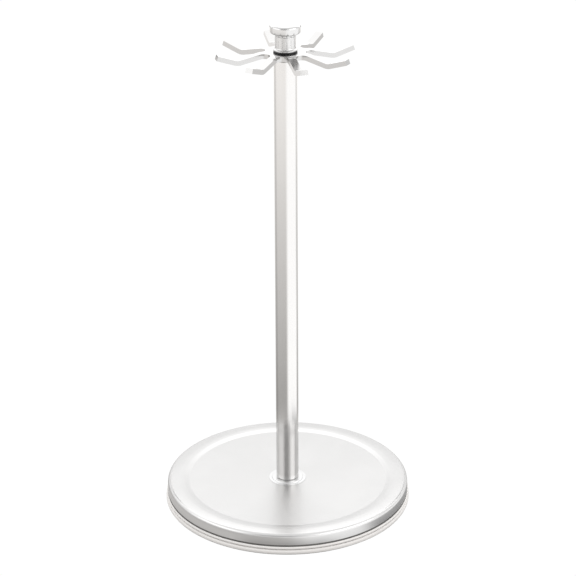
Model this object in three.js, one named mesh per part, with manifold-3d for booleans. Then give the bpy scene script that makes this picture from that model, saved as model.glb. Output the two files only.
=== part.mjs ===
// A free-standing rotary hook stand for kitchen tools: a weighted round base, a tall tubular pole, and a
// one-piece star of bent hooks that turns on a spindle between two plastic washers, under a knob.
// Millimetres, +Z up. The origin is on the table, under the middle of the pole.
import * as THREE from "three";
import { mergeVertices } from "three/addons/utils/BufferGeometryUtils.js";
import Module from "manifold-3d";

const wasm = await Module();
wasm.setup();

// ---------- Driving dimensions ----------
const overallHeight = 400; // table to the crown of the knob

// fits
const seat = 0.05; // gap left between two faces that rest on each other
const slip = 0.15; // radial gap of a screw in its thread and of a part pushed over another
const turningPlay = 0.1; // axial gap on each side of the turning star
const shadowGap = 1.3; // open line between the dish's skirt and the bottom cover's rim

// base dish, drawn from sheet
const sheet = 0.8;
const skirtRadius = 97.5;
const rimHeight = 18; // table to the flat crest of the rim
const skirtBottom = 8.8;
const shoulderRadius = 3; // rounding from the skirt to the crest
const crestWidth = 6.5;
const rimFall = 8; // radial width of the slope from the crest to the floor
const recessDepth = 1.2;
const floorDish = 0.1; // fall of the floor from the slope to the middle
const collarLand = 2; // flat of the floor outside the pole's collar

// bottom cover, foot pads and screws
const footLift = 0.6; // how far the pads hold the cover off the table
const coverProud = 1.5; // how far the cover's rim stands out past the skirt
const coverFloor = 2.2;
const coverWall = 2;
const wallBelowRim = 5; // top of the cover's wall, under the dish's crest
const beadRadius = 1.1;
const beadInset = 0.4;
const grooveDepth = 1.8;
const padCount = 4;
const padRadius = 8;
const padThickness = 1.8;
const padChamfer = 0.4;
const padInset = 17; // edge of the cover to the middle of a pad
const screwCount = 3;
const screwInset = 41; // edge of the cover to the middle of a screw
const screwRadius = 2;
const screwHeadRadius = 3.8;
const screwHeadHeight = 2.2;
const screwHeadChamfer = 0.6;
const screwSunk = 0.3; // how far a screw's head sits up inside the cover
const screwSocketFlats = 3;
const screwGrip = 4.5; // length of screw in the ballast
const bossWall = 2.3;

// ballast and pole bolt
const ballastGap = 16.4; // ballast's edge to the cover's wall
const ballastThickness = 7;
const counterboreDepth = 5;
const boltRadius = 3;
const boltHeadFlats = 10;
const boltHeadHeight = 4;
const boltEngagement = 15; // length of bolt in the bottom plug
const flatWasherRadius = 9;
const flatWasherThickness = 1.6;
const springWasherWidth = 2;
const springWasherThickness = 1.5;
const springWasherSlot = 1.2;

// pole
const poleRadius = 9;
const poleWall = 1.2;
const collarFlange = 2.2; // radial width of the collar's thin flange, outside its bead
const collarFlangeThickness = 0.35;
const collarBeadProud = 3.8; // radial width of the collar's bead outside the pole
const collarBeadHeight = 1.1;
const collarBeadRounding = 0.7;
const bottomPlugLength = 20;
const topPlugLength = 18;
const topPlugFlange = 1.2;

// head
const studRadius = 3;
const studInPlug = 15;
const studInCap = 6;
const studEndGap = 1;
const bushWall = 1.85;
const lowerWasherThickness = 0.8;
const upperWasherThickness = 1;
const washerInset = 0.3; // upper washer's edge, inside the neck's foot
const nutFlats = 10;
const nutHeight = 4.6;
const nutClearance = 0.63; // nut's corners to the neck's bore
const nutHeadroom = 0.9; // nut to the cap's spigot above it
const neckWall = 1.6;
const neckHeight = 11.2;
const neckFloor = 2.4;
const neckFootProud = 1.4;
const neckFootHeight = 1.1;
const capOverhang = 3.9; // cap's edge past the neck
const capHeight = 7.6;
const capDome = 0.8;
const capRounding = 1.8;
const capCollar = 1.9; // short neck turned in one with the cap

// hook star, stamped from plate and bent
const hookCount = 8;
const hookWidth = 6;
const plate = 3.8;
const notchApex = 15.4; // radius of the hub at the bottom of each notch
const dipRadius = 37.4; // where each hook is lowest
const dipDrop = 4;
const tipReach = 15.7; // tip beyond the dip
const tipRise = 5.2; // tip above the dip
const bendRadius = 7;
const restTurn = 15; // degrees from -Y to the first hook

// smoothness: segments round a full turn, and steps along a small rounding
const fine = 64;
const medium = 32;
const coarse = 16;
const roundingSteps = 3;

// ---------- Worked-out positions ----------
const skirtInner = skirtRadius - sheet;
const crestOuter = skirtRadius - shoulderRadius;
const crestInner = crestOuter - crestWidth;
const floorEdgeTop = rimHeight - recessDepth;
const floorMiddleTop = floorEdgeTop - floorDish;
const coverRadius = skirtRadius + coverProud;
const coverTop = skirtBottom - shadowGap;
const coverFloorTop = footLift + coverFloor;
const wallOuter = skirtInner - 2 * slip;
const wallInner = wallOuter - coverWall;

const ballastRadius = wallInner - ballastGap;
const ballastTop = floorMiddleTop - sheet - seat;
const ballastBottom = ballastTop - ballastThickness;
const counterboreTop = ballastBottom + counterboreDepth;
const boltHole = boltRadius + 2 * slip;
const washerTop = counterboreTop - seat;
const washerBottom = washerTop - flatWasherThickness;
const springWasherTop = washerBottom - seat;
const boltHeadTop = springWasherTop - springWasherThickness - seat;
const screwLedge = footLift + screwSunk + screwHeadHeight; // underside of the ledge a screw's head bears on

const collarBeadRadius = poleRadius + collarBeadProud;
const collarRadius = collarBeadRadius + collarFlange;
const collarBottom = floorMiddleTop + seat;
const collarTop = collarBottom + collarBeadHeight;
const poleBottom = collarTop + seat;
const poleInner = poleRadius - poleWall;
const bottomPlugTop = poleBottom + bottomPlugLength;
const plugRadius = poleInner - seat;

const nutCorner = nutFlats / 2 / Math.cos(Math.PI / 6);
const neckInner = nutCorner + nutClearance;
const neckRadius = neckInner + neckWall;
const neckFootRadius = neckRadius + neckFootProud;
const capRadius = neckRadius + capOverhang;
const capBottom = overallHeight - capHeight;
const capCollarBottom = capBottom - capCollar;
const neckTop = capCollarBottom - seat;
const neckBottom = neckTop - neckHeight;
const nutBottom = neckBottom + neckFloor + seat;
const nutTop = nutBottom + nutHeight;
const spigotBottom = nutTop + nutHeadroom;
const studTop = spigotBottom + studInCap;
const upperWasherTop = neckBottom - turningPlay;
const upperWasherBottom = upperWasherTop - upperWasherThickness;
const upperWasherRadius = neckFootRadius - washerInset;
const starTop = upperWasherBottom - turningPlay;
const starMiddle = starTop - plate / 2;
const lowerWasherTop = starTop - plate - turningPlay;
const lowerWasherBottom = lowerWasherTop - lowerWasherThickness;
const topPlugTop = lowerWasherBottom - seat;
const poleTop = topPlugTop - topPlugFlange - seat;
const bushInner = studRadius + slip;
const bushRadius = bushInner + bushWall;
const starBore = bushRadius + slip;

// Each notch between two hooks is a round that touches both hooks' sides.
const hookHalfTurn = Math.PI / hookCount;
const notchRadius = (notchApex * Math.sin(hookHalfTurn) - hookWidth / 2) / (1 - Math.sin(hookHalfTurn));
const notchMiddle = notchApex + notchRadius;
const hubRadius = notchMiddle * Math.cos(hookHalfTurn);

// ---------- Shape helpers ----------
// Points on an arc in the [radius, height] plane, angles in degrees.
function arc(x, y, r, from, to, steps) {
  return Array.from({ length: steps + 1 }, (_, i) => {
    const a = THREE.MathUtils.degToRad(from + ((to - from) * i) / steps);
    return [x + r * Math.cos(a), y + r * Math.sin(a)];
  });
}

// A solid of revolution about Z from a [radius, height] outline, which may run in either direction. It
// closes on the axis, or on itself when it stays clear of the axis.
function turned(outline, segments) {
  const area = outline.reduce((sum, [x, y], i) => {
    const [u, v] = outline[(i + 1) % outline.length];
    return sum + x * v - u * y;
  }, 0);
  const ordered = area > 0 ? outline : [...outline].reverse();
  const points = ordered.map((p) => new THREE.Vector2(...p));
  if (outline.every(([x]) => x > 0)) points.push(points[0].clone());
  return new THREE.LatheGeometry(points, segments).rotateX(Math.PI / 2);
}

// A plain ring or tube, or a disc when inner is 0.
function ring(outer, inner, bottom, top, segments) {
  return turned([[inner, bottom], [outer, bottom], [outer, top], [inner, top]], segments);
}

// A sheet-metal outline: the given line, and the same line set back by the sheet's thickness.
function sheetOutline(line, thickness) {
  const back = line.map((p, i) => {
    const before = line[Math.max(i - 1, 0)];
    const after = line[Math.min(i + 1, line.length - 1)];
    const into = new THREE.Vector2(p[0] - before[0], p[1] - before[1]);
    const out = new THREE.Vector2(after[0] - p[0], after[1] - p[1]);
    if (i === 0) into.copy(out);
    if (i === line.length - 1) out.copy(into);
    into.normalize();
    out.normalize();
    const mitre = thickness / (1 + into.dot(out));
    return [p[0] - (into.y + out.y) * mitre, p[1] + (into.x + out.x) * mitre];
  });
  return [...line, ...back.reverse()];
}

function hexagonPrism(flats, bottom, top) {
  const corner = flats / 2 / Math.cos(Math.PI / 6);
  const corners = arc(0, 0, corner, 0, 300, 5).map((p) => new THREE.Vector2(...p));
  const options = { depth: top - bottom, bevelEnabled: false };
  return new THREE.ExtrudeGeometry(new THREE.Shape(corners), options).translate(0, 0, bottom);
}

// Places on a circle about Z, the first one at `start` degrees from +X.
function onCircle(count, radius, start) {
  return Array.from({ length: count }, (_, i) => {
    const a = THREE.MathUtils.degToRad(start + (360 * i) / count);
    return [radius * Math.cos(a), radius * Math.sin(a)];
  });
}

const padPlaces = onCircle(padCount, coverRadius - padInset, 45);
const screwPlaces = onCircle(screwCount, coverRadius - screwInset, 90);

// ---------- Joining and cutting ----------
function toSolid(geometry) {
  const bare = geometry.clone();
  bare.deleteAttribute("normal");
  bare.deleteAttribute("uv");
  const merged = mergeVertices(bare);
  const vertProperties = merged.attributes.position.array;
  const triVerts = new Uint32Array(merged.index.array);
  return new wasm.Manifold(new wasm.Mesh({ numProp: 3, vertProperties, triVerts }));
}

function toGeometry(solid) {
  const { vertProperties, triVerts } = solid.getMesh();
  return new THREE.BufferGeometry()
    .setAttribute("position", new THREE.BufferAttribute(vertProperties, 3))
    .setIndex(new THREE.BufferAttribute(triVerts, 1));
}

const join = (pieces) => toGeometry(pieces.map(toSolid).reduce((a, b) => a.add(b)));
const cut = (body, tools) => toGeometry(tools.map(toSolid).reduce((a, b) => a.subtract(b), toSolid(body)));

// A round hole or boss on each of the given places.
const roundsAt = (places, radius, bottom, top) =>
  places.map(([x, y]) => ring(radius, 0, bottom, top, coarse).translate(x, y, 0));

// ---------- Base ----------
function baseDish() {
  const shoulder = arc(crestOuter, rimHeight - shoulderRadius, shoulderRadius, 0, 90, roundingSteps);
  // from the crest the sheet rolls over into the slope on a parabola
  const slope = Array.from({ length: roundingSteps }, (_, i) => {
    const t = (i + 1) / roundingSteps;
    return [crestInner - rimFall * t, rimHeight - recessDepth * t * t];
  });
  const line = [[skirtRadius, skirtBottom], ...shoulder, [crestInner, rimHeight], ...slope];
  line.push([collarRadius + collarLand, floorMiddleTop], [boltHole, floorMiddleTop]);
  return turned(sheetOutline(line, sheet), fine);
}

function ballastDisc() {
  const outline = [
    [boltHole, ballastTop],
    [ballastRadius, ballastTop],
    [ballastRadius, ballastBottom],
    [flatWasherRadius + slip, ballastBottom],
    [flatWasherRadius + slip, counterboreTop],
    [boltHole, counterboreTop],
  ];
  const threads = roundsAt(screwPlaces, screwRadius + slip, ballastBottom - 1, ballastTop + 1);
  return cut(turned(outline, fine), threads);
}

// The rim seen under the dish: a round lower band, a groove, and a bead with an open line above it.
function bottomCover() {
  const beadMiddle = coverTop - beadRadius;
  const bandTop = beadMiddle - 1.3 * beadRadius;
  const bandRadius = (bandTop - footLift) / 2;
  const bead = arc(coverRadius - beadInset - beadRadius, beadMiddle, beadRadius, -60, 90, roundingSteps);
  const band = arc(coverRadius - bandRadius, footLift + bandRadius, bandRadius, -90, 60, roundingSteps);
  const wallTop = rimHeight - wallBelowRim;
  const outline = [
    [0, footLift],
    ...band,
    [coverRadius - grooveDepth, bandTop],
    ...bead,
    [wallOuter, coverTop],
    [wallOuter, wallTop],
    [wallInner, wallTop],
    [wallInner, coverFloorTop],
    [0, coverFloorTop],
  ];
  const bossRadius = screwHeadRadius + slip + bossWall;
  const bosses = roundsAt(screwPlaces, bossRadius, footLift + coverFloor / 2, ballastBottom - seat);
  const shanks = roundsAt(screwPlaces, screwRadius + slip, footLift - 1, ballastBottom + 1);
  const heads = roundsAt(screwPlaces, screwHeadRadius + slip, footLift - 1, screwLedge + seat);
  const padPockets = roundsAt(padPlaces, padRadius + slip, footLift - 1, padThickness + seat);
  return cut(join([turned(outline, fine), ...bosses]), [...shanks, ...heads, ...padPockets]);
}

function coverScrew() {
  const headBottom = screwLedge - screwHeadHeight;
  const top = ballastBottom + screwGrip;
  const outline = [
    [0, headBottom],
    [screwHeadRadius - screwHeadChamfer, headBottom],
    [screwHeadRadius, headBottom + screwHeadChamfer],
    [screwHeadRadius, screwLedge],
    [screwRadius, screwLedge],
    [screwRadius, top - screwRadius / 2],
    [screwRadius / 2, top],
    [0, top],
  ];
  const socket = hexagonPrism(screwSocketFlats, headBottom - 1, headBottom + screwHeadHeight / 2);
  return cut(turned(outline, coarse), [socket]);
}

function footPad() {
  const outline = [
    [0, 0],
    [padRadius - padChamfer, 0],
    [padRadius, padChamfer],
    [padRadius, padThickness],
    [0, padThickness],
  ];
  return turned(outline, coarse);
}

// ---------- Pole and its bolt ----------
// A turned collar: a thin flange on the dish's floor, and a rounded bead that the pole stands on.
function poleCollar() {
  const flangeTop = collarBottom + collarFlangeThickness;
  const roundMiddle = collarBeadRadius - collarBeadRounding;
  const outline = [
    [boltHole, collarBottom],
    [collarRadius, collarBottom],
    [collarRadius, flangeTop],
    [collarBeadRadius, flangeTop],
    ...arc(roundMiddle, collarTop - collarBeadRounding, collarBeadRounding, 0, 90, roundingSteps),
    [boltHole, collarTop],
  ];
  return turned(outline, medium);
}

function poleBolt() {
  const head = hexagonPrism(boltHeadFlats, boltHeadTop - boltHeadHeight, boltHeadTop);
  const shank = ring(boltRadius, 0, boltHeadTop - 1, poleBottom + boltEngagement, coarse);
  return join([head, shank]);
}

function springWasher() {
  const inner = boltRadius + slip;
  const outer = inner + springWasherWidth;
  const slot = new THREE.BoxGeometry(2 * springWasherWidth, springWasherSlot, 3 * springWasherThickness);
  slot.translate(inner + springWasherWidth / 2, 0, springWasherTop);
  return cut(ring(outer, inner, springWasherTop - springWasherThickness, springWasherTop, coarse), [slot]);
}

function topPlug() {
  const outline = [
    [bushInner, poleTop - topPlugLength],
    [plugRadius, poleTop - topPlugLength],
    [plugRadius, topPlugTop - topPlugFlange],
    [poleRadius, topPlugTop - topPlugFlange],
    [poleRadius, topPlugTop],
    [bushInner, topPlugTop],
  ];
  return turned(outline, medium);
}

// ---------- Turning star ----------
// Side view of one hook in the [radius, height] plane: level in the hub, down to the dip, up to the tip.
// The middle of the plate turns through each corner on bendRadius, and both faces follow it.
function hookSide() {
  const corners = [
    new THREE.Vector2(notchApex - hookWidth / 2, starMiddle),
    new THREE.Vector2(hubRadius, starMiddle),
    new THREE.Vector2(dipRadius, starMiddle - dipDrop),
    new THREE.Vector2(dipRadius + tipReach, starMiddle - dipDrop + tipRise),
  ];
  const upper = [];
  const lower = [];
  const addPair = (point, normal) => {
    upper.push(point.clone().addScaledVector(normal, plate / 2));
    lower.push(point.clone().addScaledVector(normal, -plate / 2));
  };
  const direction = (i) => corners[i + 1].clone().sub(corners[i]).normalize();
  const upwards = (way) => new THREE.Vector2(-way.y, way.x);

  addPair(corners[0], upwards(direction(0)));
  for (const i of [1, 2]) {
    const into = direction(i - 1);
    const turn = Math.asin(into.cross(direction(i)));
    const side = Math.sign(turn);
    const start = corners[i].clone().addScaledVector(into, -bendRadius * Math.tan(Math.abs(turn) / 2));
    const centre = start.addScaledVector(upwards(into), side * bendRadius);
    for (let k = 0; k <= roundingSteps; k++) {
      const normal = upwards(into).rotateAround(new THREE.Vector2(), (turn * k) / roundingSteps);
      addPair(centre.clone().addScaledVector(normal, -side * bendRadius), normal);
    }
  }
  addPair(corners[3], upwards(direction(2)));
  return new THREE.Shape([...upper, ...lower.reverse()]);
}

function hookStar() {
  const firstHook = restTurn - 90;
  const firstNotch = firstHook + THREE.MathUtils.radToDeg(hookHalfTurn);
  const notchPlaces = onCircle(hookCount, notchMiddle, firstNotch);
  const hub = ring(hubRadius, starBore, starTop - plate, starTop, medium);
  const notches = roundsAt(notchPlaces, notchRadius, starTop - plate - 1, starTop + 1);
  const side = hookSide();
  const hooks = Array.from({ length: hookCount }, (_, i) =>
    new THREE.ExtrudeGeometry(side, { depth: hookWidth, bevelEnabled: false })
      .translate(0, 0, -hookWidth / 2)
      .rotateX(Math.PI / 2)
      .rotateZ(THREE.MathUtils.degToRad(firstHook + (360 * i) / hookCount)),
  );
  return join([cut(hub, notches), ...hooks]);
}

// A plastic washer that the star turns against, round the bush.
const slidingWasher = (radius, bottom, top) => ring(radius, starBore, bottom, top, medium);

// ---------- Knob ----------
// The neck flares into a thin foot over the upper washer, and holds the nut in its bore.
function neckSleeve() {
  const footTop = neckBottom + neckFootHeight;
  const flare = arc(neckFootRadius, footTop + neckFootProud, neckFootProud, 270, 180, roundingSteps);
  const outline = [
    [bushInner, neckBottom],
    [neckFootRadius, neckBottom],
    ...flare,
    [neckRadius, neckTop],
    [neckInner, neckTop],
    [neckInner, neckBottom + neckFloor],
    [bushInner, neckBottom + neckFloor],
  ];
  return turned(outline, medium);
}

function retainingNut() {
  const bore = ring(bushInner, 0, nutBottom - 1, nutTop + 1, coarse);
  return cut(hexagonPrism(nutFlats, nutBottom, nutTop), [bore]);
}

// A domed cap with a short collar over the neck and a spigot inside it, threaded on the stud.
function knobCap() {
  const edgeMiddle = capRadius - capRounding;
  const crestTop = overallHeight - capDome;
  const studHoleTop = studTop + studEndGap;
  const outline = [
    [0, studHoleTop],
    [bushInner, studHoleTop],
    [bushInner, spigotBottom],
    [neckInner - slip, spigotBottom],
    [neckInner - slip, capCollarBottom],
    [neckRadius, capCollarBottom],
    [neckRadius, capBottom],
    ...arc(edgeMiddle, capBottom + capRounding, capRounding, -90, 0, roundingSteps),
    ...arc(edgeMiddle, crestTop - capRounding, capRounding, 0, 90, roundingSteps),
    [edgeMiddle / 2, overallHeight - capDome / 4],
    [0, overallHeight],
  ];
  return turned(outline, medium);
}

// ---------- Finishes ----------
const satinSteel = { color: 0xd4d4d2, roughness: 0.32, metalness: 1 };
const brushedSteel = { color: 0xcfcfcd, roughness: 0.25, metalness: 1 };
const polishedSteel = { color: 0xe2e2e0, roughness: 0.1, metalness: 1 };
const zincSteel = { color: 0xb4b7ba, roughness: 0.4, metalness: 1 };
const castIron = { color: 0x3c3d3f, roughness: 0.7, metalness: 0.6 };
const palePlastic = { color: 0xd9d6cf, roughness: 0.35, metalness: 0 };
const blackPlastic = { color: 0x17171a, roughness: 0.45, metalness: 0 };
const rubber = { color: 0x2a2a2b, roughness: 0.9, metalness: 0 };

// ---------- Assembly ----------
const stand = new THREE.Group();

function add(name, geometry, finish, x = 0, y = 0) {
  const mesh = new THREE.Mesh(geometry, new THREE.MeshStandardMaterial(finish));
  mesh.name = name;
  mesh.position.set(x, y, 0);
  stand.add(mesh);
}

add("base_dish", baseDish(), satinSteel);
add("ballast_disc", ballastDisc(), castIron);
add("bottom_cover", bottomCover(), palePlastic);
padPlaces.forEach(([x, y], i) => add(`foot_pad_${i + 1}`, footPad(), rubber, x, y));
screwPlaces.forEach(([x, y], i) => add(`cover_screw_${i + 1}`, coverScrew(), zincSteel, x, y));

add("pole_bolt", poleBolt(), zincSteel);
add("bolt_spring_washer", springWasher(), zincSteel);
add("bolt_flat_washer", ring(flatWasherRadius, boltHole, washerBottom, washerTop, medium), zincSteel);
add("pole_collar", poleCollar(), polishedSteel);
add("pole_tube", ring(poleRadius, poleInner, poleBottom, poleTop, medium), brushedSteel);
add("bottom_plug", ring(plugRadius, boltRadius + slip, poleBottom, bottomPlugTop, medium), zincSteel);
add("top_plug", topPlug(), brushedSteel);

add("spindle_stud", ring(studRadius, 0, poleTop - studInPlug, studTop, coarse), zincSteel);
add("spindle_bush", ring(bushRadius, bushInner, topPlugTop + seat, neckBottom - seat, medium), polishedSteel);
add("lower_washer", slidingWasher(poleRadius, lowerWasherBottom, lowerWasherTop), blackPlastic);
add("hook_star", hookStar(), polishedSteel);
add("upper_washer", slidingWasher(upperWasherRadius, upperWasherBottom, upperWasherTop), blackPlastic);
add("neck_sleeve", neckSleeve(), brushedSteel);
add("retaining_nut", retainingNut(), zincSteel);
add("knob_cap", knobCap(), polishedSteel);

export default stand;
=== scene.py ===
import math

import bmesh
import bpy
from mathutils import Matrix, Vector


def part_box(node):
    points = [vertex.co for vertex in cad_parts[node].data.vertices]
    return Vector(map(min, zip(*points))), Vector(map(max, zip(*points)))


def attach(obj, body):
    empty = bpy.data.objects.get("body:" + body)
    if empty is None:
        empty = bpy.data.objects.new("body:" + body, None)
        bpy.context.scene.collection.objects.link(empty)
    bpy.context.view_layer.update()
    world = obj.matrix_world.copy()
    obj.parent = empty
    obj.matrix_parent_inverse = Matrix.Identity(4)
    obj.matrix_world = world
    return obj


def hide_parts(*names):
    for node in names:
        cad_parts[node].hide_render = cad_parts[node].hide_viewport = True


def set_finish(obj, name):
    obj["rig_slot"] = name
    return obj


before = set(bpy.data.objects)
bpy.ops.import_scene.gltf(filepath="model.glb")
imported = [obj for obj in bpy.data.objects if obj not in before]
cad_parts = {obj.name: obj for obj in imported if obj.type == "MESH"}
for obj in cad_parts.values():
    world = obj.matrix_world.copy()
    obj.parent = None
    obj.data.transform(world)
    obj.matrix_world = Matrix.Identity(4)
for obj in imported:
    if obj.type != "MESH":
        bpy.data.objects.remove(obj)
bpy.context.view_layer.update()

# A rotary hook stand for kitchen tools. Metres, +Z up, origin on the table under the pole.
MM = 0.001
BASE_STEPS = 240  # faces round the base's pieces
HEAD_STEPS = 96  # faces round the pole, the collar and the knob
SMALL_STEPS = 48  # faces round pads and screws
ARC_STEP = math.radians(11)  # the turn of one face of a rounded corner
STRAIGHT = 1e-4  # radians: corners that turn by less need no rounding
SHARP = math.radians(32)  # edges that turn by more than this stay crisp
SAME_PLACE = 1e-7  # metres: points of a turned shape closer than this become one
WELD = 1e-6  # metres: the same for the star's eighths

# ---------- Sizes that the frame's boxes don't give ----------
SEAT = 0.05 * MM  # gap between pieces that rest on each other
SLIP = 0.15 * MM  # gap round a pin in its hole
CRISP_EDGE = 0.1 * MM  # roundings of small corners
FINE_EDGE = 0.2 * MM
WORN_EDGE = 0.25 * MM
SOFT_EDGE = 0.3 * MM
BLUNT_EDGE = 0.4 * MM

SHEET = 0.8 * MM
SHOULDER_ROUNDING = 3.0 * MM
CREST_WIDTH = 6.5 * MM
CREST_ROUNDING = 16 * MM
RIM_FALL = 8.0 * MM  # width of the slope from the rim's crest down to the floor
RIM_ROUNDING = 12 * MM
RECESS_DEPTH = 1.2 * MM
RECESS_ROUNDING = 2 * MM
COLLAR_LAND = 2.0 * MM

COVER_FLOOR = 2.2 * MM
COVER_FLAT = 3 * MM  # the flat underside ends this far inside the band
COVER_WALL = 2.0 * MM
COVER_WALL_GAP = 1.1 * MM
COVER_GAP = 1.3 * MM
COVER_CORNER = 1.0 * MM
BAND_CREST = 4.9 * MM
BAND_FOOT_ROUNDING = 2.0 * MM
BAND_CREST_ROUNDING = 1.9 * MM
GROOVE_DEPTH = 1.8 * MM
GROOVE_FLOOR = 0.25 * MM
BEAD_HEIGHT = 2.2 * MM
BEAD_INSET = 0.4 * MM
BEAD_ROUNDING = 1.0 * MM
BOSS_RADIUS = 6.25 * MM

PAD_COUNT = 4
PAD_HOLLOW = 0.25 * MM
PAD_RIM = 1.8 * MM
PAD_SLOPE = 0.4 * MM

SCREW_COUNT = 3
SCREW_LEDGE = 3.1 * MM
SCREW_HEAD_RADIUS = 3.8 * MM
SCREW_HEAD_HEIGHT = 2.2 * MM
SCREW_HEAD_ROUNDING = 0.7 * MM
SCREW_SOCKET_RADIUS = 1.75 * MM
SCREW_SOCKET_DEPTH = 1.1 * MM
SCREW_RADIUS = 2.0 * MM
SCREW_PITCH = 0.8 * MM
SCREW_THREAD = 0.18 * MM

COLLAR_FLANGE = 0.35 * MM
COLLAR_BEAD_RADIUS = 12.8 * MM
COLLAR_BEAD_ROUNDING = 0.7 * MM
POLE_WALL = 1.2 * MM
POLE_FOOT_CHAMFER = 0.5 * MM
POLE_FOOT_ROUNDING = 0.6 * MM
POLE_TOP_CHAMFER = 0.3 * MM
PLUG_FLANGE = 1.2 * MM
PLUG_END_ROUNDING = 0.6 * MM
STUD_HOLE = 3.15 * MM
STUD_END_GAP = 1.0 * MM
WASHER_BORE = 5.15 * MM

HOOK_COUNT = 8
HOOK_WIDTH = 6.0 * MM
NOTCH_APEX = 15.4 * MM
NOTCH_STEPS = 10
BORE_STEPS = 12  # in each eighth of the star
DIP_RADIUS = 37.4 * MM
DIP_DROP = 4.0 * MM
TIP_REACH = 15.7 * MM
TIP_RISE = 5.2 * MM
BEND_RADIUS = 7.0 * MM
FIRST_HOOK = math.radians(15 - 90)
PLATE = 3.8 * MM
PLATE_EDGE = 0.5 * MM  # rounding left by tumbling the stamped star
STAR_PLAY = 0.1 * MM  # gap between the star and the washer above it

NECK_FOOT_TOP = 0.99 * MM
NECK_FLARE_TOP = 1.43 * MM
NECK_FLARE_ROUNDING = 1.2 * MM
NECK_RADIUS = 8.0 * MM
NECK_BORE = 6.4 * MM
NECK_FLOOR = 2.4 * MM
SPIGOT_RADIUS = 6.25 * MM
CAP_COLLAR = 1.9 * MM
CAP_DOME = 0.8 * MM
CAP_DOME_ROUNDING = 12 * MM
CAP_DOME_SPAN = 0.55  # of the cap's radius: where the dome's slope changes
CAP_DOME_FALL = 0.2  # of the dome's height: how far it has fallen there
CAP_ROUNDING = 1.8 * MM


# ---------- Shapes ----------
def rounded_wire(bm, corners):
    """Joins (x, height, rounding) corners by edges in the XZ plane and rounds them."""
    places = [Vector((x, 0, z)) for x, z, _ in corners]
    points = [bm.verts.new(place) for place in places]
    for pair in zip(points, points[1:]):
        bm.edges.new(pair)
    for i in range(1, len(corners) - 1):
        rounding = corners[i][2]
        turn = (places[i] - places[i - 1]).angle(places[i + 1] - places[i])
        if rounding and turn > STRAIGHT:
            bmesh.ops.bevel(
                bm, geom=[points[i]], offset=rounding * math.tan(turn / 2),
                offset_type="OFFSET", segments=max(2, math.ceil(turn / ARC_STEP)),
                profile=0.5, affect="VERTICES", material=-1,
            )


def rounded_points(corners):
    """The points of a rounded wire in order."""
    bm = bmesh.new()
    rounded_wire(bm, corners)
    first_place = Vector((corners[0][0], 0, corners[0][1]))
    vert = min(bm.verts, key=lambda v: (v.co - first_place).length)
    line, edge = [vert.co.copy()], vert.link_edges[0]
    while edge:
        vert = edge.other_vert(vert)
        line.append(vert.co.copy())
        edge = next((e for e in vert.link_edges if e != edge), None)
    bm.free()
    return line


def spun(corners, steps, closed=True):
    """A bmesh turned about Z from corners that start and end on the axis or form a ring.

    Corners that aren't closed give an open sheet.
    """
    bm = bmesh.new()
    points = [bm.verts.new(place) for place in rounded_points(corners)]
    for pair in zip(points, points[1:]):
        bm.edges.new(pair)
    if closed and corners[0][0] > 0:
        bm.edges.new((points[-1], points[0]))
    bmesh.ops.spin(
        bm, geom=bm.verts[:] + bm.edges[:], cent=(0, 0, 0), axis=(0, 0, 1),
        angle=math.tau, steps=steps, use_merge=True,
    )
    bmesh.ops.remove_doubles(bm, verts=bm.verts, dist=SAME_PLACE)
    bmesh.ops.recalc_face_normals(bm, faces=bm.faces)
    return bm


def made(name, bm):
    """A smooth mesh object of a bmesh, with its sharp edges marked."""
    for face in bm.faces:
        face.smooth = True
    for edge in bm.edges:
        edge.smooth = not edge.is_manifold or edge.calc_face_angle() < SHARP
    mesh = bpy.data.meshes.new(name)
    bm.to_mesh(mesh)
    bm.free()
    piece = bpy.data.objects.new(name, mesh)
    bpy.context.scene.collection.objects.link(piece)
    return piece


def moved(bm, x, y):
    """The same bmesh, moved in the plane of the table."""
    bmesh.ops.translate(bm, verts=bm.verts, vec=(x, y, 0))
    return bm


def combined(name, body, others, operation):
    """Joins bmeshes to a body, or cuts them out of it, and returns the new bmesh."""
    target = made(name, body)
    tools = [made("tool", other) for other in others]
    for tool in tools:
        step = target.modifiers.new(tool.name, "BOOLEAN")
        step.operation, step.solver, step.object = operation, "EXACT", tool
    evaluated = target.evaluated_get(bpy.context.evaluated_depsgraph_get())
    bm = bmesh.new()
    bm.from_mesh(evaluated.to_mesh())
    evaluated.to_mesh_clear()
    for spare in [target, *tools]:
        mesh = spare.data
        bpy.data.objects.remove(spare)
        bpy.data.meshes.remove(mesh)
    bmesh.ops.remove_doubles(bm, verts=bm.verts, dist=SAME_PLACE)
    return bm


def radius_of(node):
    """The radius of a round node."""
    low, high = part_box(node)
    return (high.x - low.x) / 2


def middle_of(node):
    """The x and y of a node's middle."""
    low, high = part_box(node)
    return (low.x + high.x) / 2, (low.y + high.y) / 2


def thickened(piece, thickness, offset):
    """Gives an open surface the thickness of its sheet."""
    wall = piece.modifiers.new("sheet", "SOLIDIFY")
    wall.thickness = thickness
    wall.offset = offset
    wall.use_even_offset = True


def bevelled(piece, width, angle, segments):
    """Rounds the edges of a piece that turn by more than an angle in degrees."""
    bevel = piece.modifiers.new("edges", "BEVEL")
    bevel.width = width
    bevel.segments = segments
    bevel.limit_method = "ANGLE"
    bevel.angle_limit = math.radians(angle)
    bevel.harden_normals = True


def stands_for(piece, body, slot, *nodes):
    """Puts a piece on its body, in the place of the nodes that it shows."""
    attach(piece, body)
    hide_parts(*nodes)
    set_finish(piece, slot)
    return piece


# ---------- Base ----------
SCREWS = [f"cover_screw_{i + 1}" for i in range(SCREW_COUNT)]
PADS = [f"foot_pad_{i + 1}" for i in range(PAD_COUNT)]


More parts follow.
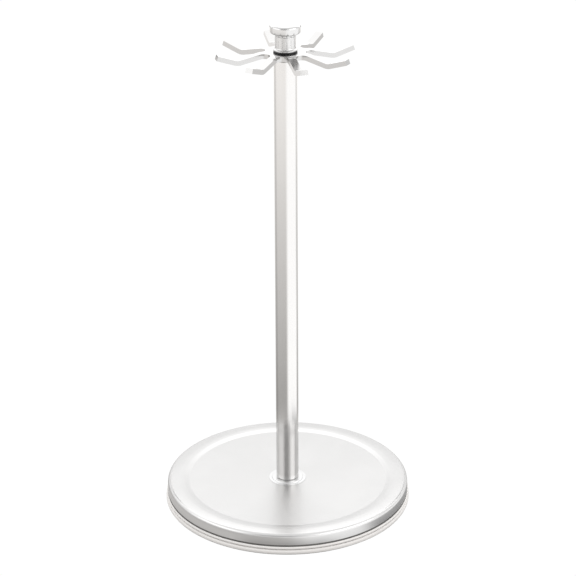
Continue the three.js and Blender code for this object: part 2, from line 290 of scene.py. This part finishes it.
def make_dish():
    """A sheet-steel dish: shoulder, crest, slope and a shallow floor with a hole for the bolt."""
    low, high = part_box("base_dish")
    floor_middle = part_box("pole_collar")[0].z - SEAT
    crest_inner = high.x - SHOULDER_ROUNDING - CREST_WIDTH
    bm = spun([
        (high.x, low.z, 0),
        (high.x, high.z, SHOULDER_ROUNDING),
        (crest_inner, high.z, CREST_ROUNDING),
        (crest_inner - RIM_FALL / 2, high.z - RECESS_DEPTH / 4, RIM_ROUNDING),
        (crest_inner - RIM_FALL, high.z - RECESS_DEPTH, RECESS_ROUNDING),
        (radius_of("pole_collar") + COLLAR_LAND, floor_middle, 0),
        (STUD_HOLE, floor_middle, 0),
    ], BASE_STEPS, closed=False)
    if max(bm.faces, key=lambda f: f.calc_center_median().z).normal.z < 0:
        bmesh.ops.reverse_faces(bm, faces=bm.faces)
    dish = made("dish", bm)
    thickened(dish, SHEET, -1)
    bevelled(dish, FINE_EDGE, 60, 2)
    return stands_for(dish, "stand", "satin_steel", "base_dish")


def round_tool(node, radius, bottom, top):
    """A plain cylinder over the middle of a node, for the Booleans."""
    corners = [(0, bottom, 0), (radius, bottom, 0), (radius, top, 0), (0, top, 0)]
    return moved(spun(corners, SMALL_STEPS), *middle_of(node))


def make_cover():
    """The cover: a band, a groove, a bead and a wall inside the dish, with screw bosses."""
    low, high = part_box("bottom_cover")
    floor_top = low.z + COVER_FLOOR
    groove = high.x - GROOVE_DEPTH
    bead = high.x - BEAD_INSET
    bead_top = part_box("base_dish")[0].z - COVER_GAP
    bead_bottom = bead_top - BEAD_HEIGHT
    wall = radius_of("base_dish") - COVER_WALL_GAP
    boss_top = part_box("ballast_disc")[0].z - SEAT
    body = spun([
        (0, low.z, 0),
        (high.x - COVER_FLAT, low.z, 0),
        (high.x, low.z, BAND_FOOT_ROUNDING),
        (high.x, BAND_CREST, BAND_CREST_ROUNDING),
        (groove, bead_bottom - GROOVE_FLOOR, CRISP_EDGE),
        (groove, bead_bottom, CRISP_EDGE),
        (bead, bead_bottom, BEAD_ROUNDING),
        (bead, bead_top, BEAD_ROUNDING),
        (wall, bead_top, 0),
        (wall, high.z, BLUNT_EDGE),
        (wall - COVER_WALL, high.z, BLUNT_EDGE),
        (wall - COVER_WALL, floor_top, COVER_CORNER),
        (0, floor_top, 0),
    ], BASE_STEPS)
    bosses = [
        round_tool(screw, BOSS_RADIUS, low.z + COVER_FLOOR / 2, boss_top) for screw in SCREWS
    ]
    body = combined("cover", body, bosses, "UNION")
    holes = []
    for screw in SCREWS:
        holes.append(round_tool(screw, SCREW_HEAD_RADIUS + SLIP, -MM, SCREW_LEDGE + SEAT))
    for screw in SCREWS:
        holes.append(round_tool(screw, SCREW_RADIUS + SLIP, -MM, boss_top + MM))
    for p in PADS:
        holes.append(round_tool(p, radius_of(p) + SLIP, -MM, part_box(p)[1].z + SEAT))
    cover = made("cover", combined("cover", body, holes, "DIFFERENCE"))
    return stands_for(cover, "stand", "pale_plastic", "bottom_cover")


def make_pad(node):
    """A rubber foot with a slightly hollow underside."""
    low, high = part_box(node)
    radius = radius_of(node)
    bm = spun([
        (0, low.z + PAD_HOLLOW, 0),
        (radius - PAD_RIM - PAD_SLOPE, low.z + PAD_HOLLOW, FINE_EDGE),
        (radius - PAD_RIM, low.z, FINE_EDGE),
        (radius, low.z, BLUNT_EDGE),
        (radius, high.z, CRISP_EDGE),
        (0, high.z, 0),
    ], SMALL_STEPS)
    pad = made(node.replace("foot_", ""), moved(bm, *middle_of(node)))
    return stands_for(pad, "stand", "rubber", node)


def make_screw(node):
    """A cover screw: a head with a six-sided socket, ringed threads and a point."""
    low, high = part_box(node)
    head_top = low.z + SCREW_HEAD_HEIGHT
    point_bottom = high.z - SCREW_RADIUS / 2
    threads = []
    height = head_top + SCREW_PITCH
    while height + SCREW_PITCH < point_bottom:
        threads += [
            (SCREW_RADIUS, height, 0),
            (SCREW_RADIUS - SCREW_THREAD, height + SCREW_PITCH / 2, 0),
        ]
        height += SCREW_PITCH
    bm = spun([
        (0, low.z, 0),
        (SCREW_HEAD_RADIUS, low.z, SCREW_HEAD_ROUNDING),
        (SCREW_HEAD_RADIUS, head_top, 0),
        (SCREW_RADIUS, head_top, 0),
        *threads,
        (SCREW_RADIUS, point_bottom, 0),
        (SCREW_RADIUS / 2, high.z, 0),
        (0, high.z, 0),
    ], SMALL_STEPS)
    socket = bmesh.new()
    bmesh.ops.create_cone(
        socket, cap_ends=True, segments=6, radius1=SCREW_SOCKET_RADIUS,
        radius2=SCREW_SOCKET_RADIUS, depth=2 * SCREW_SOCKET_DEPTH,
        matrix=Matrix.Translation((0, 0, low.z)),
    )
    bm = combined("screw", bm, [socket], "DIFFERENCE")
    screw = made(node.replace("cover_", ""), moved(bm, *middle_of(node)))
    return stands_for(screw, "stand", "zinc_steel", node)


# ---------- Pole ----------
def make_collar():
    """The trim under the pole: a thin flange with a rounded bead inside it."""
    low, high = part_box("pole_collar")
    flange_top = low.z + COLLAR_FLANGE
    bm = spun([
        (STUD_HOLE, low.z, 0),
        (high.x, low.z, 0),
        (high.x, flange_top, FINE_EDGE),
        (COLLAR_BEAD_RADIUS, flange_top, CRISP_EDGE),
        (COLLAR_BEAD_RADIUS, high.z, COLLAR_BEAD_ROUNDING),
        (STUD_HOLE, high.z, 0),
    ], HEAD_STEPS)
    return stands_for(made("collar", bm), "stand", "polished_steel", "pole_collar")


def make_pole():
    """The tube, with its outer edges eased at both ends."""
    low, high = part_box("pole_tube")
    bm = spun([
        (high.x - POLE_WALL, low.z, 0),
        (high.x - POLE_FOOT_CHAMFER, low.z, CRISP_EDGE),
        (high.x, low.z + POLE_FOOT_CHAMFER, POLE_FOOT_ROUNDING),
        (high.x, high.z - POLE_TOP_CHAMFER, FINE_EDGE),
        (high.x - POLE_TOP_CHAMFER, high.z, CRISP_EDGE),
        (high.x - POLE_WALL, high.z, 0),
    ], HEAD_STEPS)
    return stands_for(made("pole", bm), "stand", "brushed_steel", "pole_tube")


def make_top_plug():
    """The plug that closes the tube's top and carries the stud."""
    low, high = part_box("top_plug")
    inner = high.x - POLE_WALL - SEAT
    bm = spun([
        (STUD_HOLE, low.z, 0),
        (inner, low.z, PLUG_END_ROUNDING),
        (inner, high.z - PLUG_FLANGE, 0),
        (high.x, high.z - PLUG_FLANGE, FINE_EDGE),
        (high.x, high.z, SOFT_EDGE),
        (STUD_HOLE, high.z, 0),
    ], HEAD_STEPS)
    return stands_for(made("pole_plug", bm), "stand", "brushed_steel", "top_plug")


def make_washer(name, node):
    """A plastic washer that the star turns against."""
    low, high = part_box(node)
    bm = spun([
        (WASHER_BORE, low.z, 0),
        (high.x, low.z, WORN_EDGE),
        (high.x, high.z, WORN_EDGE),
        (WASHER_BORE, high.z, 0),
    ], HEAD_STEPS)
    return stands_for(made(name, bm), "stand", "black_plastic", node)


# ---------- Hook star ----------
def mirrored(point):
    """The point on the other side of the XZ plane."""
    return Vector((point.x, -point.y, point.z))


def arc(bm, start, centre, angle, steps):
    """Spins a point about an upright axis into a row of joined points, in order."""
    row = [bm.verts.new(start)]
    bmesh.ops.spin(
        bm, geom=row[:], cent=centre, axis=(0, 0, 1), angle=angle, steps=steps,
    )
    while True:
        ahead = [e.other_vert(row[-1]) for e in row[-1].link_edges]
        ahead = [v for v in ahead if v not in row]
        if not ahead:
            return row
        row.append(ahead[0])


def make_star():
    """One eighth of the plate with its hook, turned eight times and thickened."""
    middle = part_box("upper_washer")[0].z - STAR_PLAY - PLATE / 2
    half_turn = math.pi / HOOK_COUNT
    reach = math.sin(half_turn)
    notch_radius = (NOTCH_APEX * reach - HOOK_WIDTH / 2) / (1 - reach)
    ray = Matrix.Rotation(half_turn, 3, "Z")
    notch_middle = ray @ Vector((NOTCH_APEX + notch_radius, 0, middle))
    apex = ray @ Vector((NOTCH_APEX, 0, middle))
    bore = ray @ Vector((WASHER_BORE, 0, middle))
    root = notch_middle.x
    notch_turn = math.pi / 2 - half_turn

    # plate: from the bore out to half a notch on each side of the hook's root
    bm = bmesh.new()
    bore_row = arc(bm, bore, (0, 0, 0), -2 * half_turn, BORE_STEPS)
    notch_row = arc(bm, apex, notch_middle, notch_turn, NOTCH_STEPS)
    other_row = arc(bm, mirrored(apex), mirrored(notch_middle), -notch_turn, NOTCH_STEPS)
    bm.faces.new(bore_row + other_row + notch_row[::-1])

    # hook: the root edge drawn out along the bent middle line of the plate
    edge = bm.edges.get((notch_row[-1], other_row[-1]))
    slope = math.atan2(DIP_DROP, DIP_RADIUS - root)
    line = rounded_points([
        (root, middle, 0),
        (root + BEND_RADIUS * math.tan(slope / 2), middle, BEND_RADIUS),
        (DIP_RADIUS, middle - DIP_DROP, BEND_RADIUS),
        (DIP_RADIUS + TIP_REACH, middle - DIP_DROP + TIP_RISE, 0),
    ])
    for before, after in zip(line, line[1:]):
        if (after - before).length < WELD:
            continue
        out = bmesh.ops.extrude_edge_only(bm, edges=[edge])["geom"]
        edge = next(e for e in out if isinstance(e, bmesh.types.BMEdge))
        bmesh.ops.translate(bm, verts=edge.verts[:], vec=after - before)
        for v in edge.verts:
            v.co.x, v.co.z = after.x, after.z
    bmesh.ops.recalc_face_normals(bm, faces=bm.faces)
    if bm.faces[0].normal.z < 0:
        bmesh.ops.reverse_faces(bm, faces=bm.faces)
    first_turn = Matrix.Rotation(FIRST_HOOK, 3, "Z")
    bmesh.ops.rotate(bm, verts=bm.verts, cent=(0, 0, 0), matrix=first_turn)
    bmesh.ops.spin(
        bm, geom=bm.verts[:] + bm.edges[:] + bm.faces[:], cent=(0, 0, 0), axis=(0, 0, 1),
        angle=math.tau * (HOOK_COUNT - 1) / HOOK_COUNT, steps=HOOK_COUNT - 1,
        use_duplicate=True,
    )
    bmesh.ops.remove_doubles(bm, verts=bm.verts, dist=WELD)
    star = made("hook_plate", bm)
    thickened(star, PLATE, 0)
    bevelled(star, PLATE_EDGE, 40, 3)
    return stands_for(star, "star", "polished_steel", "hook_star")


# ---------- Knob ----------
def make_neck():
    """The sleeve over the retaining nut, with a flared foot."""
    low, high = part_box("neck_sleeve")
    bm = spun([
        (STUD_HOLE, low.z, 0),
        (high.x, low.z, SOFT_EDGE),
        (high.x, low.z + NECK_FOOT_TOP, SOFT_EDGE),
        (NECK_RADIUS, low.z + NECK_FLARE_TOP, NECK_FLARE_ROUNDING),
        (NECK_RADIUS, high.z, WORN_EDGE),
        (NECK_BORE, high.z, 0),
        (NECK_BORE, low.z + NECK_FLOOR, 0),
        (STUD_HOLE, low.z + NECK_FLOOR, 0),
    ], HEAD_STEPS)
    return stands_for(made("neck", bm), "stand", "brushed_steel", "neck_sleeve")


def make_cap():
    """The knob: a spigot in the neck, a short collar and a domed disc."""
    low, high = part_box("knob_cap")
    collar_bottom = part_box("neck_sleeve")[1].z + SEAT
    cap_bottom = collar_bottom + CAP_COLLAR
    stud_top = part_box("spindle_stud")[1].z + STUD_END_GAP
    bm = spun([
        (0, stud_top, 0),
        (STUD_HOLE, stud_top, 0),
        (STUD_HOLE, low.z, 0),
        (SPIGOT_RADIUS, low.z, SOFT_EDGE),
        (SPIGOT_RADIUS, collar_bottom, 0),
        (NECK_RADIUS, collar_bottom, WORN_EDGE),
        (NECK_RADIUS, cap_bottom, SOFT_EDGE),
        (high.x, cap_bottom, CAP_ROUNDING),
        (high.x, high.z - CAP_DOME, CAP_ROUNDING),
        (high.x * CAP_DOME_SPAN, high.z - CAP_DOME * CAP_DOME_FALL, CAP_DOME_ROUNDING),
        (0, high.z, 0),
    ], HEAD_STEPS)
    return stands_for(made("knob", bm), "stand", "polished_steel", "knob_cap")


# ---------- Finishes ----------
class Level:
    """A node's output, with Python's arithmetic: each sign adds its Math node."""

    def __init__(self, finish, socket):
        self.finish, self.socket = finish, socket

    def _with(self, operation, first, second):
        return self.finish.node("ShaderNodeMath", {"operation": operation}, {0: first, 1: second})

    def __add__(self, other):
        return self._with("ADD", self, other)

    __radd__ = __add__

    def __mul__(self, other):
        return self._with("MULTIPLY", self, other)

    __rmul__ = __mul__

    def __sub__(self, other):
        return self._with("SUBTRACT", self, other)

    def __rsub__(self, other):
        return self._with("SUBTRACT", other, self)

    def __truediv__(self, other):
        return self._with("DIVIDE", self, other)

    def __pow__(self, other):
        return self._with("POWER", self, other)

    def least(self, other):
        return self._with("MINIMUM", self, other)

    def above(self, low, high):
        """0 below low, 1 above high and a smooth rise between."""
        return self.finish.node(
            "ShaderNodeMapRange", {"interpolation_type": "SMOOTHSTEP"},
            {0: self, 1: low, 2: high, 3: 0.0, 4: 1.0},
        )

    def below(self, low, high):
        """1 below low, 0 above high and a smooth fall between."""
        return 1 - self.above(low, high)


class Finish:
    """A material for one kind of surface."""

    def __init__(self, name):
        self.material = bpy.data.materials.new(name)
        self.material.use_nodes = True
        self.tree = self.material.node_tree
        self.tree.nodes.clear()
        self.place = self.node("ShaderNodeTexCoord", output="Object")

    def node(self, kind, settings=None, values=None, output=0):
        """A new node's output. Values that are Levels are linked, the others are set."""
        made_node = self.tree.nodes.new(kind)
        for key, value in (settings or {}).items():
            setattr(made_node, key, value)
        for key, value in (values or {}).items():
            if isinstance(value, Level):
                self.tree.links.new(value.socket, made_node.inputs[key])
            else:
                made_node.inputs[key].default_value = value
        return Level(self, made_node.outputs[output])

    def axes(self, vector):
        """The x, y and z of a vector."""
        parts = self.node("ShaderNodeSeparateXYZ", None, {0: vector})
        return [Level(self, s) for s in parts.socket.node.outputs]

    def vector(self, x, y, z):
        return self.node("ShaderNodeCombineXYZ", None, {0: x, 1: y, 2: z})

    def noise(self, vector, scale, detail=3.0, roughness=0.55, w=None):
        settings = {"noise_dimensions": "3D" if w is None else "4D"}
        values = {"Vector": vector, "Scale": scale, "Detail": detail, "Roughness": roughness}
        if w is not None:
            values["W"] = w
        return self.node("ShaderNodeTexNoise", settings, values)

    def mixed(self, factor, first, second):
        """A colour between two colours."""
        values = {0: factor, 6: first, 7: second}
        return self.node("ShaderNodeMix", {"data_type": "RGBA"}, values, 2)

    def bump(self, height, distance):
        return self.node("ShaderNodeBump", None, {"Height": height, "Distance": distance})

    def surface(self, **values):
        """Ends the material in a Principled shader; Base_Color is its Base Color."""
        sockets = {key.replace("_", " "): value for key, value in values.items()}
        self.ends_in(
            self.node("ShaderNodeBsdfPrincipled", {"distribution": "MULTI_GGX"}, sockets)
        )
        return self.material

    def ends_in(self, shader):
        out = self.tree.nodes.new("ShaderNodeOutputMaterial")
        self.tree.links.new(shader.socket, out.inputs["Surface"])


def grey(value, warmth=0.0):
    """A grey; warmth above 0 has more red than blue."""
    return (value * (1 + warmth), value, value * (1 - warmth), 1.0)


DISH_RIM = (79 * MM, 83 * MM)  # the rim is pressed smoother than the dish's floor
RIM_POLISH = 0.15
POLE_ARC = 9 * MM  # arc length per radian on the pole
STREAKS_ALONG = 6.0
STREAKS_ROUND = 1.6
SMUDGES = 28.0
SPECKS = 900.0
SCRATCHES = (60, 900, 300)  # scales on X, Y and Z, so that a scratch is long on X
SMUDGED = (0.42, 0.72)  # levels of the noise where a smudge begins and is full
SCRATCHED = (0.70, 0.74)


def steel(
    name, shade, warmth, roughness, grain, streak_size=0.3 * MM, streak_depth=0.0001 * MM,
    along=False, rim=None,
):
    """Steel brushed round Z, or along Z, with finger smudges and sparse fine scratches."""
    finish = Finish(name)
    x, y, z = finish.axes(finish.place)
    radius = (x * x + y * y) ** 0.5
    side_x, side_y = x / radius, y / radius
    if along:
        arc_scale = POLE_ARC / streak_size
        streaks = finish.vector(side_x * arc_scale, side_y * arc_scale, z * STREAKS_ALONG)
        lines = finish.noise(streaks, 1.0, 2.0)
    else:
        streaks = finish.vector(
            radius / streak_size, z / streak_size, side_x * STREAKS_ROUND
        )
        lines = finish.noise(streaks, 1.0, 2.0, w=side_y * STREAKS_ROUND)
    smudge = finish.noise(finish.place, SMUDGES, 4.0).above(*SMUDGED)
    speck = finish.noise(finish.place, SPECKS, 2.0)
    scratch_places = finish.vector(*(a * scale for a, scale in zip((x, y, z), SCRATCHES)))
    scratches = finish.noise(scratch_places, 1.0, 1.0).above(*SCRATCHED)
    dull, bright = grey(shade * 0.97, warmth), grey(shade * 1.03, warmth)
    colour = finish.mixed(lines * 0.6 + smudge * 0.4, dull, bright)
    rough = roughness + (lines - 0.5) * grain
    rough = rough + smudge * grain * 0.5 + scratches * grain * 0.6
    if rim:
        rough = rough * (1 - radius.above(*rim) * RIM_POLISH)
    height = lines + speck * 0.25 - scratches * 0.8
    return finish.surface(
        Base_Color=colour, Roughness=rough, Metallic=1.0,
        Normal=finish.bump(height, streak_depth),
    )


SHADE_RADIUS = 98 * MM  # the painted shade falls on the parts of the cover's rim inside this radius
# the dark colour of the painted shade on the cover
PAINTED_SHADE_COLOUR = grey(0.08, 0.03)
GROOVE_FROM = (4.2 * MM, 4.8 * MM)  # heights at which the painted shade begins and is full
GROOVE_TO = (5.6 * MM, 6.2 * MM)
GAP_FROM = (6.6 * MM, 7.2 * MM)
EDGE_TO = (0.9 * MM, 2.2 * MM)
GROOVE_DEPTHS = (0.0, 0.8 * MM)  # distances inside the shade radius, in the same way
GAP_DEPTHS = (0.2 * MM, 0.9 * MM)
EDGE_DEPTHS = (0.5 * MM, 2.5 * MM)
FLOW_MARKS = 14.0


def painted_shade_mask(finish):
    """Painted shade on the cover: how dark it is in its groove, in the gap under the dish and
    under its edge.
    """
    x, y, z = finish.axes(finish.place)
    depth = SHADE_RADIUS - (x * x + y * y) ** 0.5
    groove = depth.above(*GROOVE_DEPTHS) * z.above(*GROOVE_FROM) * z.below(*GROOVE_TO)
    gap = depth.above(*GAP_DEPTHS) * z.above(*GAP_FROM)
    under = z.below(*EDGE_TO) * depth.below(*EDGE_DEPTHS)
    return groove * 0.6 + gap * 0.85 + under * 0.55


def plastic(name, light, dark, roughness, grain_size, grain_depth, painted_shade=False):
    """Moulded plastic or rubber with a fine grain and faint flow marks, and, where asked, painted
    shade in the cover's groove, gap and under its edge.
    """
    finish = Finish(name)
    grain = finish.noise(finish.place, 1 / grain_size, 3.0, 0.6)
    flow = finish.noise(finish.place, FLOW_MARKS, 3.0)
    colour = finish.mixed(flow * 0.7 + grain * 0.3, (*dark, 1), (*light, 1))
    # painted shade: the cover's colour darkens in its groove, in the gap under the dish and under
    # its edge
    if painted_shade:
        colour = finish.mixed(painted_shade_mask(finish), colour, PAINTED_SHADE_COLOUR)
    return finish.surface(
        Base_Color=colour, Roughness=roughness + (flow - 0.5) * 0.12 + (grain - 0.5) * 0.08,
        Normal=finish.bump(grain, grain_depth),
    )


IRON_PITS = 700.0
PIT_DEPTH = 0.25 * MM
IRON_BLOOM = 45.0
IRON_SHADE = (0.045, 0.045, 0.048, 1)
OXIDE_SHADE = (0.085, 0.062, 0.05, 1)


def iron(name):
    """Bare sand-cast iron: pitted, with a dull oxide bloom."""
    finish = Finish(name)
    pits = finish.noise(finish.place, IRON_PITS, 5.0, 0.65)
    bloom = finish.noise(finish.place, IRON_BLOOM, 4.0).above(0.45, 0.7)
    return finish.surface(
        Base_Color=finish.mixed(bloom, IRON_SHADE, OXIDE_SHADE),
        Roughness=0.6 + bloom * 0.25, Metallic=0.7 - bloom * 0.5,
        Normal=finish.bump(pits, PIT_DEPTH),
    )


STEELS = {
    "satin_steel": dict(
        shade=0.60, warmth=0.006, roughness=0.34, grain=0.05, streak_size=0.35 * MM,
        streak_depth=0.0006 * MM, rim=DISH_RIM,
    ),
    "brushed_steel": dict(
        shade=0.60, warmth=0.012, roughness=0.15, grain=0.05, streak_size=0.12 * MM,
        streak_depth=0.0012 * MM, along=True,
    ),
    "polished_steel": dict(shade=0.64, warmth=0.004, roughness=0.16, grain=0.03),
    # a darker copy of polished steel: painted shade on the star's faces; its smoother finish is
    # its own
    "darkened_star_steel": dict(shade=0.47, warmth=0.008, roughness=0.12, grain=0.03),
    # a darker copy of polished steel: painted shade that keeps the knob's lit top from going
    # white
    "darkened_knob_steel": dict(shade=0.55, warmth=0.004, roughness=0.15, grain=0.03),
    "turned_steel": dict(shade=0.55, warmth=0.006, roughness=0.30, grain=0.02),
    # a lighter copy of polished steel: painted highlight on the collar's ring; its rougher satin
    # is its own finish
    "lightened_collar_steel": dict(shade=0.70, warmth=0.0, roughness=0.33, grain=0.02),
    "zinc_steel": dict(
        shade=0.46, warmth=-0.015, roughness=0.34, grain=0.12, streak_size=0.2 * MM,
        streak_depth=0.003 * MM,
    ),
}
PLASTICS = {
    # the pale cover carries painted shade in its groove, gap and under its edge
    "pale_plastic": dict(
        light=(0.71, 0.69, 0.672), dark=(0.68, 0.66, 0.642), roughness=0.34,
        grain_size=0.4 * MM, grain_depth=0.01 * MM, painted_shade=True,
    ),
    "black_plastic": dict(
        light=(0.013, 0.013, 0.014), dark=(0.008, 0.008, 0.009), roughness=0.38,
        grain_size=0.3 * MM, grain_depth=0.01 * MM,
    ),
    "rubber": dict(
        light=(0.024, 0.024, 0.025), dark=(0.014, 0.014, 0.015), roughness=0.78,
        grain_size=0.25 * MM, grain_depth=0.03 * MM,
    ),
}
FINISHES = {name: steel(name, **look) for name, look in STEELS.items()}
FINISHES["cast_iron"] = iron("cast_iron")
FINISHES.update({name: plastic(name, **look) for name, look in PLASTICS.items()})

# pieces whose finish differs from that of their slot; the star's and knob's are darker copies of
# the slot's steel, which paint shade on them, and the collar's is a lighter one, which paints a
# highlight
OWN_FINISHES = {
    "hook_plate": "darkened_star_steel",
    "neck": "turned_steel",
    "collar": "lightened_collar_steel",
    "knob": "darkened_knob_steel",
}
# CAD nodes inside the stand that show as they are
KEPT_NODES = {
    "ballast_disc": "cast_iron",
    "pole_bolt": "zinc_steel",
    "bolt_spring_washer": "zinc_steel",
    "bolt_flat_washer": "zinc_steel",
    "bottom_plug": "zinc_steel",
    "spindle_stud": "zinc_steel",
    "spindle_bush": "polished_steel",
    "retaining_nut": "zinc_steel",
}

# ---------- Assembly ----------
new_pieces = [make_dish(), make_cover(), make_collar(), make_pole(), make_top_plug(), make_star()]
new_pieces += [make_pad(node) for node in PADS]
new_pieces += [make_screw(node) for node in SCREWS]
new_pieces += [make_washer("washer_below_star", "lower_washer")]
new_pieces += [make_washer("washer_above_star", "upper_washer")]
new_pieces += [make_neck(), make_cap()]
for piece in new_pieces:
    piece.data.materials.append(FINISHES[OWN_FINISHES.get(piece.name, piece["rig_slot"])])

for node, slot in KEPT_NODES.items():
    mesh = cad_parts[node].data
    mesh.materials.clear()
    mesh.materials.append(FINISHES[slot])

# ---------- Studio ----------
STAGE_SIZE = 12.0
FLOOR_HEIGHT = -0.5 * MM
CARD_HEIGHT = -0.3 * MM
TABLE_HEIGHT = -0.2 * MM
FLOOR_GLOW = 1.02
TABLE_SHADE = 0.3
WORLD_STRENGTH = 1.2
MATT = 0.9
RAYS = ("camera", "diffuse", "glossy", "transmission", "volume_scatter", "shadow")

SOFTBOXES = {  # place, width, height, radiance
    "rear_softbox": ((0, 0.5, 0.79), 1.8, 0.86, 0.82),
    "right_softbox": ((1.1, -0.72, 0.8), 1.3, 0.9, 1.6),
    "left_softbox": ((-1.1, -0.4, 0.8), 1.3, 0.9, 0.8),
}
FLAGS = {  # place, width, height, shade of the cloth
    "front_flag": ((-0.25, -1.25, 0.95), 1.0, 1.3, 0.55),
    "left_flag": ((-0.36, 0.42, 0.38), 0.28, 0.12, 0.1),
    "right_flag": ((0.36, 0.42, 0.38), 0.28, 0.13, 0.03),
}

# the card's shading: distances from the pole in metres at which a change begins and is full
BASE_LINE = (0.1, 0.118)
CONTACT_LINE = (0.117, 0.127)
CLOSE_RING = (0.112, 0.165)
FAR_RING = (0.3, 0.6)
LOBE_SHADE = 1.65
DIM_SHADE = 1.4
CLOSE_SHADE = 0.85

CAMERA_PLACE = (0, -1.5601, 0.8601)
CAMERA_TILT = math.radians(90 - 23.417)
CAMERA_ROLL = math.radians(-0.294)
CAMERA_LENS = 135.28
CAMERA_SENSOR = 36
CAMERA_SHIFT = 0.00247
CAMERA_REACH = 60


def stage_plane(name, height):
    """A wide level plane of the studio."""
    bm = bmesh.new()
    bmesh.ops.create_grid(
        bm, x_segments=1, y_segments=1, size=STAGE_SIZE,
        matrix=Matrix.Translation((0, 0, height)),
    )
    plane = made(name, bm)
    return plane


def upright_panel(name, place, width, height):
    """A flag that stands across the Y axis."""
    bm = bmesh.new()
    bmesh.ops.create_grid(bm, x_segments=1, y_segments=1, size=0.5)
    bmesh.ops.scale(bm, verts=bm.verts, vec=(width, height, 1))
    upright = Matrix.Rotation(math.radians(90), 3, "X")
    bmesh.ops.rotate(bm, verts=bm.verts, cent=(0, 0, 0), matrix=upright)
    bmesh.ops.translate(bm, verts=bm.verts, vec=place)
    panel = made(name, bm)
    return panel


def only_seen_by(thing, *rays):
    for ray in RAYS:
        setattr(thing, f"visible_{ray}", ray in rays)


def softbox(name, place, width, height, radiance):
    """A soft light that faces the stand's middle line and isn't seen by the camera itself."""
    light = bpy.data.lights.new(name, "AREA")
    light.shape = "RECTANGLE"
    light.size, light.size_y = width, height
    light.energy = radiance * math.pi * width * height
    lamp = bpy.data.objects.new(name, light)
    lamp.location = place
    aim = Vector((0, 0, place[2])) - Vector(place)
    lamp.rotation_euler = aim.to_track_quat("-Z", "Y").to_euler()
    lamp.visible_camera = False
    bpy.context.scene.collection.objects.link(lamp)


# white floor, seen by the camera from above only
floor = stage_plane("floor", FLOOR_HEIGHT)
paper = Finish("white_paper")
glow = paper.node("ShaderNodeEmission", None, {"Color": grey(1.0), "Strength": FLOOR_GLOW})
clear = paper.node("ShaderNodeBsdfTransparent")
behind = paper.node("ShaderNodeNewGeometry", output="Backfacing")
paper.ends_in(paper.node("ShaderNodeMixShader", None, {0: behind, 1: glow, 2: clear}))
floor.data.materials.append(paper.material)
only_seen_by(floor, "camera")

# grey table top, which gives the stand its shade from below
table = stage_plane("table", TABLE_HEIGHT)
top = Finish("table_top")
top.surface(Base_Color=grey(TABLE_SHADE, 0.02), Roughness=MATT)
table.data.materials.append(top.material)
only_seen_by(table, "diffuse", "shadow")

# card on the table, seen only in the steel, whose brightness changes with the distance from
# the pole and with the side: 1 is white, "front" and "side" run from -1 to 1
card = stage_plane("gradient_card", CARD_HEIGHT)
glossy = Finish("gradient_card")
x, y, _ = glossy.axes(glossy.place)
far = (x * x + y * y) ** 0.5
side, front = x / far, 0.0 - y / far

# away from the base: dimmer near it and brighter in the lobe on the front and right
lobe = side.above(-0.15, 0.35) * front.above(-0.7, -0.2)
dim = (1.2 * far ** 0.4).least(DIM_SHADE)
away = dim + (LOBE_SHADE - dim) * lobe

# close round the base, in the skirt of the dish: brighter on the right, dark at its far end
near = far.below(*CLOSE_RING)
close = CLOSE_SHADE + 0.4 * side.above(0.0, 0.25) - 0.75 * side.above(0.66, 0.84)

# what darkens both: two darker patches behind, the base's painted shadow and a painted contact
# shadow in front
at_rear_left = side.below(-0.75, -0.45) * front.below(-0.45, -0.1)
at_rear_right = side.above(0.6, 0.8) * front.below(-0.45, -0.2) * far.above(*FAR_RING)
rear = (1 - 0.25 * at_rear_left) * (1 - 0.2 * at_rear_right)
# painted shadows: the base's shade on the card and its line of contact in front
painted_base_shadow = 0.75 + 0.25 * far.above(*BASE_LINE)
painted_contact_shadow = 1 - 0.4 * far.below(*CONTACT_LINE) * front.above(0.85, 0.97)

shade = rear * (away + (close - away) * near) * painted_base_shadow * painted_contact_shadow
colour = glossy.mixed(lobe, grey(1.0, 0.02), grey(1.0))
glossy.ends_in(glossy.node("ShaderNodeEmission", None, {"Color": colour, "Strength": shade}))
card.data.materials.append(glossy.material)
only_seen_by(card, "glossy")

for name, settings in SOFTBOXES.items():
    softbox(name, *settings)
for name, (place, width, height, cloth_shade) in FLAGS.items():
    flag = upright_panel(name, place, width, height)
    cloth = Finish("flag_cloth")
    cloth.surface(Base_Color=grey(cloth_shade), Roughness=MATT)
    flag.data.materials.append(cloth.material)
    only_seen_by(flag, "glossy")

world = bpy.data.worlds.new("studio")
world.use_nodes = True
background = world.node_tree.nodes["Background"].inputs
background["Color"].default_value = (1, 1, 1, 1)
background["Strength"].default_value = WORLD_STRENGTH
bpy.context.scene.world = world

camera_data = bpy.data.cameras.new("camera")
camera_data.lens = CAMERA_LENS
camera_data.sensor_width = CAMERA_SENSOR
camera_data.shift_x = CAMERA_SHIFT
camera_data.clip_end = CAMERA_REACH
camera = bpy.data.objects.new("camera", camera_data)
camera.location = CAMERA_PLACE
camera.rotation_euler = (CAMERA_TILT, 0, 0)
camera.rotation_euler.rotate_axis("Z", CAMERA_ROLL)
bpy.context.scene.collection.objects.link(camera)
bpy.context.scene.camera = camera
bpy.context.scene.view_settings.view_transform = "Standard"
